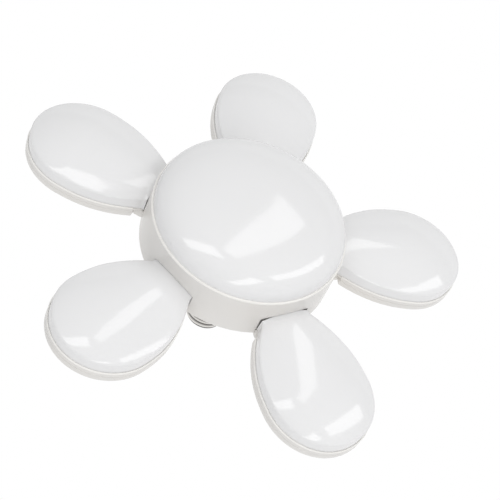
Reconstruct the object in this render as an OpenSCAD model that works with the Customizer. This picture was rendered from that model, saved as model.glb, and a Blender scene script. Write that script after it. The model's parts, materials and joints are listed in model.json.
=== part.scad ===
// Deformable garage light: a round hub lamp with a screw cap and five folding petal lamps.
// Millimetres. +Z is up, as the lamp hangs: the screw cap points up, the domes face down.
// The origin is on the lamp's axis, at the shoulder that meets the lampholder's mouth.

/* [Screw cap] */
// Diameter over the crests of the cap's thread
cap_d = 26.2; // [26.05:0.05:26.45]
// Depth of the thread, crest to root
thread_depth = 0.85; // [0.6:0.05:1]
// Pitch of the thread
thread_pitch = 3.62; // [3.5:0.01:3.7]
// From the shoulder to the start of the shell's inturned end
shell_h = 19.2; // [17:0.1:20]
// From the shoulder to the tip of the centre contact
cap_h = 27; // [25:0.1:28]
// Wall of the shell at the bottom of the thread
shell_wall = 0.9; // [0.5:0.1:1.2]
// Diameter of the centre contact
contact_d = 9.6; // [8:0.2:11]

/* [Neck] */
// From the shoulder down to the hub's back face
neck_h = 50; // [44:1:60]
// Diameter of the neck at its shoulder
shoulder_d = 34; // [30:1:38]
// From the hub's wall in to the neck's foot, which closes the opening in the hub's back
neck_inset = 21.5; // [20:0.5:24]
// Wall of the neck
neck_wall = 2.2; // [1.6:0.1:3]
// Thickness of the neck's flange
flange_t = 2; // [1.5:0.1:3]
// Width of the flange outside the neck's foot
flange_rim = 4; // [3:0.5:4.5]
// Number of vent slots round the neck
vent_count = 15; // [5:5:20]
// Width of a vent slot
vent_w = 2.4; // [1.5:0.1:3]
// Length of a vent slot
vent_h = 21; // [15:1:24]

/* [Hub] */
// Diameter of the hub
hub_d = 125; // [122:1:130]
// Depth of the hub's wall, from its rim to its back
hub_h = 31; // [29:0.5:34]
// Wall of the hub
hub_wall = 2.4; // [2:0.1:3]
// Width of the lip round the hub's dome
lip_w = 1.2; // [0.8:0.1:1.6]
// Radius of the hub's back edge
hub_edge_r = 1.2; // [0.5:0.1:1.8]
// How far the hub's dome stands out of the rim
dome_h = 20; // [14:1:26]
// Squareness of the dome's profile, 2 for an ellipse
dome_power = 2.6; // [2:0.1:3.2]
// Wall of every dome
dome_wall = 2; // [1.5:0.1:2.6]

/* [Petals] */
// Number of petals
petal_count = 5; // [5:1:5]
// From a petal's straight end to its widest section
petal_run = 53.3; // [48:0.1:58]
// From the widest section to the petal's tip
petal_tip = 37; // [33:1:42]
// Width of a petal
petal_w = 70; // [64:1:74]
// Width of a petal's straight end
petal_end_w = 32; // [30:0.5:33]
// Fullness of the petal's side between its end and its widest section
petal_power = 2.25; // [2:0.05:2.6]
// Height of a petal's housing, seam to back
housing_h = 8; // [7.6:0.2:9]
// Wall round a petal's housing, wide enough to carry dome and LED board
housing_wall = 4; // [3.6:0.1:4.6]
// Thickness of a petal housing's back
housing_floor = 2; // [1.5:0.1:2.5]
// Radius of a petal housing's back edge
housing_edge_r = 2; // [1:0.1:2.2]
// Number of cooling ribs across a petal's back
rib_count = 9; // [3:1:9]
// Spacing of the ribs
rib_gap = 6.5; // [5:0.1:6.5]
// Width of a rib
rib_w = 1.6; // [1:0.1:2]
// Height of a rib
rib_h = 0.8; // [0.4:0.1:1]
// From the housing's sides in to the ribs' ends
rib_margin = 8; // [6:0.5:12]
// Height of a petal dome's upright side at its straight end
side_end_h = 8.2; // [7.8:0.1:9]
// Height of a petal dome's upright side elsewhere
side_h = 7.6; // [6:0.1:8.5]
// Height of a petal dome's ridge at its straight end
ridge_end_h = 10.3; // [9.8:0.1:11]
// Height of a petal dome's ridge at its widest section
ridge_h = 15.4; // [13:0.2:16]
// Fullness of a petal dome's cross section: 1 for a parabola, 2 for an ellipse
crown_power = 1.2; // [1:0.1:2]
// From the hub's rim down to the petals' seam, along the axis
seam_drop = 25; // [24:0.5:26]

/* [Hinges] */
// From the hub's wall in to the hinge pin
hinge_inset = 0.5; // [0:0.1:1]
// From the hinge pin in to the petal's straight end
end_inset = 1.8; // [1:0.1:2]
// From a petal's seam to its hinge pin
hinge_w = 4.6; // [4.4:0.1:4.8]
// Diameter of the hinge's barrels
barrel_d = 6.8; // [6.2:0.1:7]
// Width of the hub's barrel
barrel_w = 12.8; // [11:0.2:14]
// Width of each of the petal's two ears
ear_w = 6.6; // [5:0.2:7]
// Outside diameter of the hollow hinge pin
pin_d = 4; // [3.6:0.1:4.2]
// Bore of the hinge pin, for the petal's lead
pin_bore_d = 2.6; // [2.2:0.1:2.8]
// Thickness of the hinge bracket's foot
foot_t = 1.6; // [1.2:0.1:2]
// Length of the hinge bracket's foot, in from the pin
foot_l = 15.5; // [14:0.5:16]
// Rest tilt of petal 1, towards the cap, degrees
tilt_1 = 2.5; // [-5:0.5:85]
// Rest tilt of petal 2
tilt_2 = 2.5; // [-5:0.5:85]
// Rest tilt of petal 3
tilt_3 = 3.5; // [-5:0.5:85]
// Rest tilt of petal 4
tilt_4 = 4.5; // [-5:0.5:85]
// Rest tilt of petal 5
tilt_5 = -2; // [-5:0.5:85]

/* [Electrics] */
// Thickness of the aluminium LED boards
led_board_t = 1.5; // [1:0.1:2]
// From the hub's wall in to its LED board
board_margin = 8.5; // [8:0.5:12]
// From the hub's rim in to its LED board
board_drop = 6; // [5:0.5:8]
// Thickness of the driver board
driver_board_t = 1.6; // [1:0.1:2]
// From the neck's foot in to the driver board
driver_margin = 3; // [2:0.5:5]
// Length of an LED
led_l = 3.5; // [2.8:0.1:4]
// Width of an LED
led_w = 2.8; // [2.2:0.1:3.2]
// Height of an LED
led_h = 0.7; // [0.5:0.1:1]
// Spacing of the LEDs along and across a petal
led_gap = 12; // [10:0.5:14]
// Diameter of a petal's lead
lead_d = 1.8; // [1.4:0.1:2]
// Diameter of a supply wire
supply_d = 1.4; // [1:0.1:1.6]

/* [Fits] */
// Radial clearance of the hinge pin in the hub's barrel
run_fit = 0.05; // [0.02:0.01:0.08]
// Clearance round covers, boards and other loose parts
gap = 0.3; // [0.2:0.05:0.4]
// Clearance between a petal's ears and the hub's barrel
side_gap = 0.2; // [0.1:0.05:0.3]
// Clearance between a petal's dome and the arched top of its pocket
pocket_gap = 0.7; // [0.6:0.1:1.2]
// Thread diameter of the larger screws
screw_d = 3; // [2.5:0.1:3]
// Thread diameter of the bracket and driver screws
small_screw_d = 2.5; // [2:0.1:2.6]

/* [Hidden] */
$fn = 64;
tilts = [tilt_1, tilt_2, tilt_3, tilt_4, tilt_5];

// Colours, as photographed
WHITE = [0.9, 0.89, 0.87];
OPAL = [0.94, 0.94, 0.95];
NICKEL = [0.7, 0.68, 0.64];
STEEL = [0.62, 0.63, 0.65];

// Heights along the axis
back_z = -neck_h;
rim_z = back_z - hub_h;
seam_z = rim_z + seam_drop;
hub_r = hub_d / 2;
dome_r = hub_r - lip_w;
lip_seat = 1.5;
skirt_h = 5;
step = 360 / petal_count;

// The petal frame: x from the hub's axis, y across the petal, z = 0 at its seam and + to its back
hinge_u = hub_r - hinge_inset;
petal_in = hinge_u - end_inset;
petal_mid = petal_in + petal_run;
ear_y = barrel_w / 2 + side_gap;
hinge_out = ear_y + ear_w;
tray_in = hinge_u + barrel_d / 2 + gap * 2;
tongue_t = hinge_w - barrel_d / 2 - gap / 2;
foot_in = hinge_u - foot_l;
foot_z = back_z - seam_z;
lead_y = hinge_out + lead_d / 2 + gap;
board_inset = dome_wall + gap;
inside_u = tray_in + housing_floor;
petal_boss_d = 6.4;
petal_screw_u = inside_u + 10;
petal_screw_inset = 11;

// Pockets in the hub's wall, one for each petal's end and hinge
pocket_u = hinge_u - barrel_d / 2 - gap * 1.6;
pocket_w = petal_end_w + 6.2 * gap;

// Inside the cap
contact_h = 2.6;
contact_z = cap_h - contact_h;
nose_h = 9;

// Inside the hub
hub_board_z = rim_z + board_drop;
hub_board_r = hub_r - board_margin;
opening_r = hub_r - neck_inset;
boss_u = opening_r + 8.5;
boss_d = 7;
neck_lug_d = 10;
spigot_h = 1;
driver_z = back_z - spigot_h;
driver_board_r = opening_r - driver_margin;
post_d = 6;
post_share = 0.15;
small_head_d = small_screw_d * 2;
screw_head_d = screw_d * 1.8;
foot_screw_u = foot_in + 3.8;
foot_screw_y = 3.4;
foot_boss_margin = 2.6;
lead_bend_u = pocket_u - hub_wall - 2;
lead_slope = 3.5;
lead_drop = 6;
thin_lead_d = 1.2;

// Lengths of the screws under their heads
board_screw_l = 9;
neck_screw_l = 8;
bracket_screw_l = 7;
driver_screw_l = 6;
petal_screw_l = 6;

// Parts on the driver board: diameters, heights and places from the axis
capacitor_d = 12.5;
capacitor_h = 20;
capacitor_at = [11, 4];
choke_d = 15;
choke_core_d = 12;
choke_h = 13;
choke_lip = 2;
choke_at = [-12, 9];
rectifier = [9, 7, 3];
rectifier_at = [-16, -16];
fuse_d = 4.4;
fuse_l = 11;
fuse_at = [9, -20];

// A wire of round section through a list of points, with a slightly fuller round at each bend
module wire(path, d) {
    for (i = [0:len(path) - 2]) {
        v = path[i + 1] - path[i];
        translate(path[i]) rotate([0, acos(v[2] / norm(v)), atan2(v[1], v[0])])
            cylinder(d = d, h = norm(v), $fn = 16);
    }
    for (i = [1:len(path) - 2]) translate(path[i]) rotate([50, 65, 10]) sphere(d = d * 1.08, $fn = 16);
}

// A pan-head screw, its head's seat at z = 0 and its shank down -Z
module pan_screw(d, head_d, l) {
    difference() {
        union() {
            cylinder(d = head_d, h = d * 0.55);
            translate([0, 0, -l]) cylinder(d = d, h = l + 0.1);
        }
        for (a = [0, 90]) rotate(a) translate([-d * 0.55, -d * 0.1, d * 0.3]) cube([d * 1.1, d * 0.2, d]);
    }
}

// Puts a shape drawn in the petal frame at petal i, tilted about its hinge
module at_petal(i, tilt = 0) {
    rotate(step * (i - 1)) translate([hinge_u, 0, seam_z + hinge_w])
        rotate([0, -tilt, 0]) translate([-hinge_u, 0, -hinge_w]) children();
}

// The same, at the petal's rest tilt
module on_petal(i) {
    at_petal(i, tilts[i - 1]) children();
}

// Half the petal's width at a distance u from the axis, between its end and its widest section
function half_w(u) =
    petal_end_w / 2 + (petal_w - petal_end_w) / 2
        * (1 - pow(max(0, (petal_mid - u) / (petal_mid - petal_in)), petal_power));

// The same at any distance, also where the tip narrows
function across(u) = u < petal_mid ? half_w(u)
    : petal_w / 2 * sqrt(1 - pow((u - petal_mid) / petal_tip, 2));

// One side of the petal's outline, from the straight end at u0 to the tip, shrunk by inset
SIDE_STEPS = 12;
TIP_STEPS = 12;
function side_points(u0, inset) = concat(
    [for (k = [0:SIDE_STEPS - 1])
        let (u = u0 + (petal_mid - u0) * pow(k / SIDE_STEPS, 1.5)) [u, half_w(u) - inset]],
    [for (k = [0:TIP_STEPS])
        let (a = 90 - 90 * k / TIP_STEPS)
        [petal_mid + (petal_tip - inset) * cos(a), (petal_w / 2 - inset) * sin(a)]]);

// The whole outline: out along +y, round the tip and back along -y
function outline(u0, inset) =
    let (side = side_points(u0, inset), n = len(side))
    concat(side, [for (k = [n - 2:-1:0]) [side[k][0], -side[k][1]]]);

// A closed skin over rings of equal length, each clockwise seen from +Z and in order up the
// axis. Its first and last ring are zipped shut across y.
module loft(rings) {
    n = len(rings[0]);
    m = len(rings);
    last = (m - 1) * n;
    half = (n - 1) / 2;
    sides = [for (j = [0:m - 2], k = [0:n - 1], t = [0, 1])
        let (a = j * n + k, b = j * n + (k + 1) % n)
        t == 0 ? [a, b, b + n] : [a, b + n, a + n]];
    first_cap = [for (k = [0:half - 1], t = [0, 1])
        if (t == 0 || k < half - 1)
            t == 0 ? [k, n - 1 - k, k + 1] : [k + 1, n - 1 - k, n - 2 - k]];
    last_cap = [for (k = [0:half - 1], t = [0, 1])
        if (t == 0 || k < half - 1)
            t == 0 ? [last + k, last + k + 1, last + n - 1 - k]
                : [last + k + 1, last + n - 2 - k, last + n - 1 - k]];
    polyhedron([for (ring = rings, p = ring) p], concat(sides, first_cap, last_cap), convexity = 6);
}

// Smooth step from 0 to 1
function ease(t) = let (c = min(1, max(0, t))) c * c * (3 - 2 * c);

// Height of a petal dome's ridge, which rises fast from the end, and of its upright side, at a
// distance u from the axis
RIDGE_RISE = 0.42;
function ridge_at(u) = ridge_end_h + (ridge_h - ridge_end_h)
    * pow(1 - pow(max(0, (petal_mid - u) / (petal_mid - petal_in)), 2), RIDGE_RISE);
function side_at(u) = side_end_h + (side_h - side_end_h) * ease((u - petal_in) / 24);

// The crown's share of its height, t = 0 at the top of the upright side and 1 at the ridge
function crown(t) = pow(1 - pow(1 - t, 2), 1 / crown_power);

// One ring of a petal dome. Beyond the widest section it fans out from the ridge's end.
function dome_ring(points, t, sink) = [for (p = points)
    let (r = min(p[0], petal_mid),
        s = side_at(p[0]),
        h = s - sink + (ridge_at(r) - s) * crown(t))
    [r + (p[0] - r) * (1 - t), p[1] * (1 - t), -h]];

// A petal dome's body over an outline, reaching foot above the seam and sunk under its outer skin
module dome_body(points, foot, sink) {
    loft(concat(
        [for (t = [0.93, 0.76, 0.52, 0.32, 0.18, 0.09, 0.04, 0.012, 0]) dome_ring(points, t, sink)],
        [[for (p = points) [p[0], p[1], foot]]]));
}

// The hub: a cup with a rounded back edge, pockets for the hinges and an opening for the neck
function hub_profile() = concat(
    [[0, rim_z], [hub_r, rim_z]],
    [for (a = [0:15:90])
        [hub_r - hub_edge_r * (1 - cos(a)), back_z - hub_edge_r * (1 - sin(a))]],
    [[0, back_z]]);

// The pockets of the petals' ends, arched as the domes are and grown on every side
ARCH_STEPS = 8;
module hub_pockets(grow) {
    half = pocket_w / 2 + grow;
    side_z = seam_z - side_end_h - pocket_gap - grow;
    rise = ridge_at(hub_r) - side_end_h;
    for (i = [1:petal_count]) rotate(step * (i - 1)) translate([pocket_u - grow, 0, 0])
        rotate([90, 0, 90]) linear_extrude(hub_r) polygon(concat(
            [for (k = [-ARCH_STEPS:ARCH_STEPS])
                [half * k / ARCH_STEPS, side_z - rise * crown(1 - abs(k) / ARCH_STEPS)]],
            [[half, back_z + 1], [-half, back_z + 1]]));
}

module hub_housing() color(WHITE) {
    inner_top = back_z - hub_wall;
    difference() {
        union() {
            difference() {
                rotate_extrude($fn = 128) polygon(hub_profile());
                // the inside, less the walls of the pockets
                difference() {
                    translate([0, 0, rim_z - 1]) cylinder(r = hub_r - hub_wall, h = inner_top - rim_z + 1);
                    hub_pockets(hub_wall);
                }
                // the seat of the dome's skirt
                translate([0, 0, rim_z - 1]) cylinder(r = dome_r + gap / 3, h = 1 + lip_seat);
            }
            // bosses for the LED board, and under the screws of the brackets and the neck
            for (i = [1:petal_count]) rotate(step * (i - 0.5)) {
                translate([boss_u, 0, hub_board_z + led_board_t])
                    cylinder(d = boss_d, h = inner_top - hub_board_z - led_board_t + 0.5);
            }
            for (i = [1:petal_count]) rotate(step * (i - 1))
                translate([foot_screw_u - foot_boss_margin, -foot_screw_y - foot_boss_margin, inner_top - 3])
                    cube([2 * foot_boss_margin, 2 * (foot_screw_y + foot_boss_margin), 3.5]);
        }
        hub_pockets(0);
        // opening for the neck and the driver
        translate([0, 0, inner_top - 4]) cylinder(r = opening_r, h = hub_wall + 5);
        for (i = [1:petal_count]) rotate(step * (i - 0.5)) {
            // pilot holes: LED board screw from below, neck screw from above
            translate([boss_u, 0, hub_board_z]) cylinder(d = screw_d, h = board_screw_l + 1, $fn = 32);
            translate([boss_u, 0, back_z + flange_t - neck_screw_l - 1])
                cylinder(d = screw_d, h = neck_screw_l + 1, $fn = 32);
        }
        for (i = [1:petal_count]) rotate(step * (i - 1)) {
            for (y = [-foot_screw_y, foot_screw_y])
                translate([foot_screw_u, y, back_z + foot_t - bracket_screw_l - 1])
                    cylinder(d = small_screw_d, h = bracket_screw_l + 1, $fn = 32);
            // slot for the petal's lead
            translate([lead_bend_u - lead_slope, -lead_y - lead_d * 0.7, inner_top - 1])
                cube([hub_r - lead_bend_u, lead_d * 1.4, hub_wall + 2]);
        }
    }
}

// The hub's dome: a crowned shell whose skirt stands inside the hub's lip
DOME_STEPS = 18;
function dome_profile(r, h) = [for (k = [0:DOME_STEPS])
    let (a = 90 * k / DOME_STEPS)
    [r * pow(cos(a), 2 / dome_power), -h * pow(sin(a), 2 / dome_power)]];

module hub_diffuser() color(OPAL) {
    skirt_r = hub_r - hub_wall - gap / 2;
    outer = dome_profile(dome_r, dome_h);
    inner = dome_profile(skirt_r - dome_wall, dome_h - dome_wall);
    n = len(inner);
    translate([0, 0, rim_z]) rotate_extrude($fn = 128) polygon(concat(
        outer,
        [for (k = [n - 1:-1:0]) inner[k]],
        [[skirt_r - dome_wall, skirt_h], [skirt_r, skirt_h], [skirt_r, lip_seat], [dome_r, lip_seat]]));
}

module hub_led_board() color("white") {
    translate([0, 0, hub_board_z]) difference() {
        cylinder(r = hub_board_r, h = led_board_t);
        for (i = [1:petal_count]) rotate(step * (i - 0.5))
            translate([boss_u, 0, -1]) cylinder(d = screw_d + 2 * gap, h = led_board_t + 2, $fn = 32);
    }
}

// LEDs in rings, each a share of the board's radius and a count
LED_RINGS = [[0.26, 6], [0.5, 12], [0.74, 15]];
module hub_leds() color([1, 0.9, 0.55]) {
    for (ring = LED_RINGS, k = [0:ring[1] - 1]) rotate(360 * k / ring[1])
        translate([ring[0] * hub_board_r - led_l / 2, -led_w / 2, hub_board_z - led_h])
            cube([led_l, led_w, led_h]);
}

module hub_board_screws() color(STEEL) {
    for (i = [1:petal_count]) rotate(step * (i - 0.5))
        translate([boss_u, 0, hub_board_z]) rotate([180, 0, 0])
            pan_screw(screw_d, screw_head_d, board_screw_l);
}

// The neck: a vented bell on a lugged flange, from the hub's back to the shoulder
NECK_STEPS = 10;
NECK_POWER = 1.6;
shoulder_h = 3;
foot_r = opening_r - gap;
function neck_r(t) = shoulder_d / 2 + (foot_r - shoulder_d / 2) * pow(1 - t, NECK_POWER);
post_u = neck_r(post_share) - neck_wall * 0.6 - post_d / 2;
post_h = flange_t + (neck_h - flange_t - shoulder_h) * post_share + back_z - driver_z;
function neck_curve(inset) = [for (k = [0:NECK_STEPS])
    [neck_r(k / NECK_STEPS) - inset, back_z + flange_t + (neck_h - flange_t - shoulder_h) * k / NECK_STEPS]];

module neck_cover() color(WHITE) {
    nose_r = cap_d / 2 - thread_depth - shell_wall - gap / 2;
    inner = neck_curve(neck_wall);
    n = len(inner);
    difference() {
        union() {
            rotate_extrude($fn = 96) polygon(concat(
                [[foot_r, back_z - spigot_h], [foot_r, back_z],
                    [foot_r + flange_rim, back_z], [foot_r + flange_rim, back_z + flange_t]],
                neck_curve(0),
                [[shoulder_d / 2, 0], [nose_r, 0], [nose_r, nose_h],
                    [nose_r - neck_wall, nose_h], [nose_r - neck_wall, -shoulder_h]],
                [for (k = [n - 1:-1:0]) inner[k]],
                [[foot_r - neck_wall, back_z - spigot_h]]));
            for (i = [1:petal_count]) rotate(step * (i - 0.5)) translate([0, 0, back_z]) {
                difference() {
                    union() {
                        translate([boss_u, 0, 0]) cylinder(d = neck_lug_d, h = flange_t, $fn = 48);
                        translate([foot_r + 1, -neck_lug_d / 2, 0])
                            cube([boss_u - foot_r - 1, neck_lug_d, flange_t]);
                    }
                    translate([0, 0, -1]) cylinder(r = foot_r + 0.5, h = flange_t + 2);
                }
            }
            // posts that carry the driver board
            for (a = [0, 120, 240]) rotate(a + step / 2)
                translate([post_u, 0, driver_z]) cylinder(d = post_d, h = post_h, $fn = 32);
        }
        for (i = [1:petal_count]) rotate(step * (i - 0.5))
            translate([boss_u, 0, back_z - 1]) cylinder(d = screw_d + gap, h = flange_t + 2, $fn = 32);
        for (a = [0, 120, 240]) rotate(a + step / 2)
            translate([post_u, 0, driver_z - 1]) cylinder(d = small_screw_d, h = 7, $fn = 32);
        for (k = [0:vent_count - 1]) rotate(360 * (k + 0.5) / vent_count)
            translate([post_d, -vent_w / 2, back_z / 2 - vent_h / 2]) cube([hub_r, vent_w, vent_h]);
    }
}

module neck_screws() color(STEEL) {
    for (i = [1:petal_count]) rotate(step * (i - 0.5))
        translate([boss_u, 0, back_z + flange_t]) pan_screw(screw_d, screw_head_d, neck_screw_l);
}

module bracket_screws() color(STEEL) {
    for (i = [1:petal_count], y = [-foot_screw_y, foot_screw_y]) rotate(step * (i - 1))
        translate([foot_screw_u, y, back_z + foot_t]) pan_screw(small_screw_d, small_head_d, bracket_screw_l);
}

// The driver: a round board with its parts, hung under the neck
module driver_board() color([0.1, 0.35, 0.2]) {
    translate([0, 0, driver_z - driver_board_t]) difference() {
        cylinder(r = driver_board_r, h = driver_board_t);
        for (a = [0, 120, 240]) rotate(a + step / 2)
            translate([post_u, 0, -1]) cylinder(d = small_screw_d + gap, h = driver_board_t + 2, $fn = 32);
    }
}

module driver_screws() color(STEEL) {
    for (a = [0, 120, 240]) rotate(a + step / 2) translate([post_u, 0, driver_z - driver_board_t])
        rotate([180, 0, 0]) pan_screw(small_screw_d, small_head_d, driver_screw_l);
}

module driver_capacitor() color([0.12, 0.12, 0.14]) {
    translate([capacitor_at[0], capacitor_at[1], driver_z]) cylinder(d = capacitor_d, h = capacitor_h);
}

module driver_choke() color([0.75, 0.5, 0.2]) {
    translate([choke_at[0], choke_at[1], driver_z]) {
        cylinder(d = choke_d, h = choke_lip);
        cylinder(d = choke_core_d, h = choke_h);
        translate([0, 0, choke_h - choke_lip]) cylinder(d = choke_d, h = choke_lip);
    }
}

module driver_rectifier() color([0.15, 0.15, 0.15]) {
    translate([rectifier_at[0], rectifier_at[1], driver_z]) cube(rectifier);
}

module fuse_resistor() color([0.35, 0.6, 0.45]) {
    translate([fuse_at[0], fuse_at[1], driver_z + fuse_d / 2]) rotate([0, 90, 0])
        cylinder(d = fuse_d, h = fuse_l, $fn = 32);
}

// The leads on the hub's side of each hinge, and the feed of the hub's LED board
module hub_wiring() color([0.85, 0.85, 0.83]) {
    below = driver_z - driver_board_t - seam_z;
    for (i = [1:petal_count]) at_petal(i) wire([
        [hinge_u, -gap, hinge_w],
        [hinge_u, -lead_y, hinge_w],
        [lead_bend_u, -lead_y, hinge_w],
        [lead_bend_u - lead_drop, -lead_y, hinge_w - lead_drop],
        [driver_board_r - 4, -4, below - lead_d / 2]], lead_d);
    for (y = [-3, 3])
        wire([[0, y, driver_z - driver_board_t], [0, y, hub_board_z + led_board_t]], thin_lead_d);
}

// The two supply wires, from the cap to the driver board
module supply_wires() color([0.75, 0.1, 0.1]) {
    wire([[0, 0, contact_z], [0, 0, nose_h + 3], [-3, -3, 0], [-4, -9, driver_z + supply_d / 2]], supply_d);
    shell_in = cap_d / 2 - thread_depth - shell_wall - supply_d * 0.2;
    wire([[shell_in * cos(35), -shell_in * sin(35), nose_h + 4], [4, -3, nose_h + 1.5], [4, -5, 0],
        [2, -14, driver_z + supply_d / 2]], supply_d);
}

// The threaded shell: a right-hand round thread that fades out at both ends
THREAD_SIDES = 40;
THREAD_RINGS = 8;
function thread_fade(z) = ease((z - 0.6) / 1.4) * ease((shell_h - z) / 0.9);
function thread_r(z, a) = cap_d / 2 - thread_depth
    + thread_depth * thread_fade(z) * (0.5 + 0.5 * cos(360 * z / thread_pitch - a));
function circle_ring(r, z) = [for (k = [0:THREAD_SIDES]) let (a = -360 * k / (THREAD_SIDES + 1))
    [r * cos(a), r * sin(a), z]];

module screw_shell() color(NICKEL) {
    end_r = contact_d / 2 + 4.4;
    rings = ceil(shell_h / thread_pitch * THREAD_RINGS);
    difference() {
        loft(concat(
            [for (j = [0:rings]) let (z = shell_h * j / rings)
                [for (k = [0:THREAD_SIDES]) let (a = -360 * k / (THREAD_SIDES + 1), r = thread_r(z, a))
                    [r * cos(a), r * sin(a), z]]],
            [for (a = [30, 60, 90])
                let (r = cap_d / 2 - thread_depth)
                circle_ring(end_r + (r - end_r) * cos(a), shell_h + 1.6 * sin(a))]));
        translate([0, 0, -1]) cylinder(r = cap_d / 2 - thread_depth - shell_wall, h = shell_h + 0.2);
        translate([0, 0, shell_h - 1]) cylinder(r = end_r - 0.6, h = 5);
    }
}

// The black insulator between the shell and the centre contact
module cap_insulator() color([0.06, 0.06, 0.07]) {
    seat_r = cap_d / 2 - thread_depth - shell_wall - 0.05;
    end_r = contact_d / 2 + 3.8 - 0.05;
    difference() {
        rotate_extrude() polygon([
            [0, shell_h - 3], [seat_r, shell_h - 3], [seat_r, shell_h - 0.9], [end_r, shell_h - 0.9],
            [end_r, shell_h + 2.2], [contact_d / 2 + 0.8, contact_z], [0, contact_z]]);
        translate([0, 0, shell_h - 4]) cylinder(d = 3, h = 12, $fn = 32);
    }
}

module centre_contact() color(NICKEL) {
    translate([0, 0, contact_z]) intersection() {
        cylinder(d = contact_d, h = contact_h);
        translate([0, 0, contact_h - contact_d]) sphere(r = contact_d, $fn = 96);
    }
}

// A petal's housing: a shallow tray with a tongue over the hinge and two ears on its end
module petal_housing(i) on_petal(i) color(WHITE) {
    tray = outline(tray_in, 0);
    bevel = housing_edge_r;
    screws = petal_screw_places();
    difference() {
        union() {
            difference() {
                loft(concat(
                    [[for (p = tray) [p[0], p[1], 0]]],
                    [for (a = [0:22.5:90])
                        let (inset = bevel * (1 - cos(a)), ring = outline(tray_in + inset, inset))
                        [for (p = ring) [p[0], p[1], housing_h - bevel * (1 - sin(a))]]]));
                translate([0, 0, -1]) linear_extrude(housing_h - housing_floor + 1)
                    polygon(outline(tray_in + housing_floor, housing_wall));
            }
            linear_extrude(tongue_t) intersection() {
                polygon(outline(petal_in, 0));
                translate([petal_in, -petal_w / 2]) square([tray_in - petal_in + 1, petal_w]);
            }
            for (s = screws) translate([s[0], s[1], 0])
                cylinder(d = petal_boss_d, h = housing_h - housing_floor / 2, $fn = 32);
            for (k = [0:rib_count - 1])
                let (u = tray_in + 2 * rib_gap + 1 + k * rib_gap, half = across(u) - rib_margin)
                translate([u - rib_w / 2, -half, housing_h - housing_floor / 2])
                    cube([rib_w, 2 * half, housing_floor / 2 + rib_h]);
            for (y = [ear_y, -hinge_out]) {
                translate([hinge_u, y, hinge_w]) rotate([-90, 0, 0]) cylinder(d = barrel_d, h = ear_w);
                translate([hinge_u, y, hinge_w - barrel_d / 2])
                    cube([tray_in - hinge_u + 1, ear_w, barrel_d]);
            }
        }
        translate([hinge_u, -hinge_out - 1, hinge_w]) rotate([-90, 0, 0])
            cylinder(d = pin_d, h = 2 * hinge_out + 2);
        for (s = screws) translate([s[0], s[1], -1]) cylinder(d = screw_d, h = petal_screw_l, $fn = 32);
        // hole for the petal's lead
        translate([hinge_u, lead_y, hinge_w]) rotate([0, 90, 0])
            cylinder(d = lead_d + gap, h = tray_in - hinge_u + housing_floor + 1, $fn = 32);
    }
}

// The petal's dome
module petal_diffuser(i) on_petal(i) color(OPAL) {
    difference() {
        dome_body(outline(petal_in, 0), 0, 0);
        dome_body(outline(petal_in + dome_wall, dome_wall), 1, dome_wall);
    }
}

// Places of the screws that hold a petal's LED board
function petal_screw_places() =
    let (y = petal_w / 2 - petal_screw_inset) [[petal_screw_u, 0], [petal_mid, y], [petal_mid, -y]];

module petal_led_board(i) on_petal(i) color("white") {
    translate([0, 0, -led_board_t]) linear_extrude(led_board_t) difference() {
        polygon(outline(petal_in + board_inset, board_inset));
        for (s = petal_screw_places()) translate(s) circle(d = screw_d + 2 * gap, $fn = 32);
    }
}

// LEDs in rows across the petal, as many as fit between its sides
module petal_leds(i) on_petal(i) color([1, 0.9, 0.55]) {
    margin = 8;
    for (u = [inside_u + 4:led_gap:petal_mid + petal_tip - margin]) {
        side = max(0, floor((across(u) - margin) / led_gap));
        for (k = [-side:side])
            translate([u - led_w / 2, k * led_gap - led_l / 2, -led_board_t - led_h])
                cube([led_w, led_l, led_h]);
    }
}

module petal_screws(i) on_petal(i) color(STEEL) {
    for (s = petal_screw_places())
        translate([s[0], s[1], -led_board_t]) rotate([180, 0, 0])
            pan_screw(screw_d, screw_head_d, petal_screw_l);
}

// The petal's side of its lead, from inside the tray into the hollow pin
module petal_lead(i) on_petal(i) color([0.85, 0.85, 0.83]) {
    wire([[hinge_u, gap, hinge_w], [hinge_u, lead_y, hinge_w], [inside_u + 4, lead_y, hinge_w],
        [inside_u + 8, lead_y - 4, lead_d / 2 + 0.1]], lead_d);
}

// The hub's half of the hinge: a barrel on a foot that is screwed to the hub's back
module hinge_bracket(i) at_petal(i) color(STEEL) {
    difference() {
        union() {
            translate([hinge_u, -barrel_w / 2, hinge_w]) rotate([-90, 0, 0])
                cylinder(d = barrel_d, h = barrel_w);
            translate([foot_in, -barrel_w / 2, foot_z]) cube([hinge_u - foot_in, barrel_w, foot_t]);
        }
        translate([hinge_u, -barrel_w, hinge_w]) rotate([-90, 0, 0])
            cylinder(d = pin_d + 2 * run_fit, h = 2 * barrel_w);
        for (y = [-foot_screw_y, foot_screw_y])
            translate([foot_screw_u, y, foot_z - 1])
                cylinder(d = small_screw_d + gap, h = foot_t + 2, $fn = 32);
    }
}

module hinge_pin(i) on_petal(i) color(STEEL) {
    translate([hinge_u, -hinge_out, hinge_w]) rotate([-90, 0, 0]) difference() {
        cylinder(d = pin_d, h = 2 * hinge_out);
        translate([0, 0, -1]) cylinder(d = pin_bore_d, h = 2 * hinge_out + 2);
    }
}

hub_housing();
hub_diffuser();
hub_led_board();
hub_leds();
hub_board_screws();
neck_cover();
neck_screws();
bracket_screws();
driver_board();
driver_screws();
driver_capacitor();
driver_choke();
driver_rectifier();
fuse_resistor();
hub_wiring();
supply_wires();
screw_shell();
cap_insulator();
centre_contact();
for (i = [1:petal_count]) {
    petal_housing(i);
    petal_diffuser(i);
    petal_led_board(i);
    petal_leds(i);
    petal_screws(i);
    petal_lead(i);
    hinge_bracket(i);
    hinge_pin(i);
}
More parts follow.
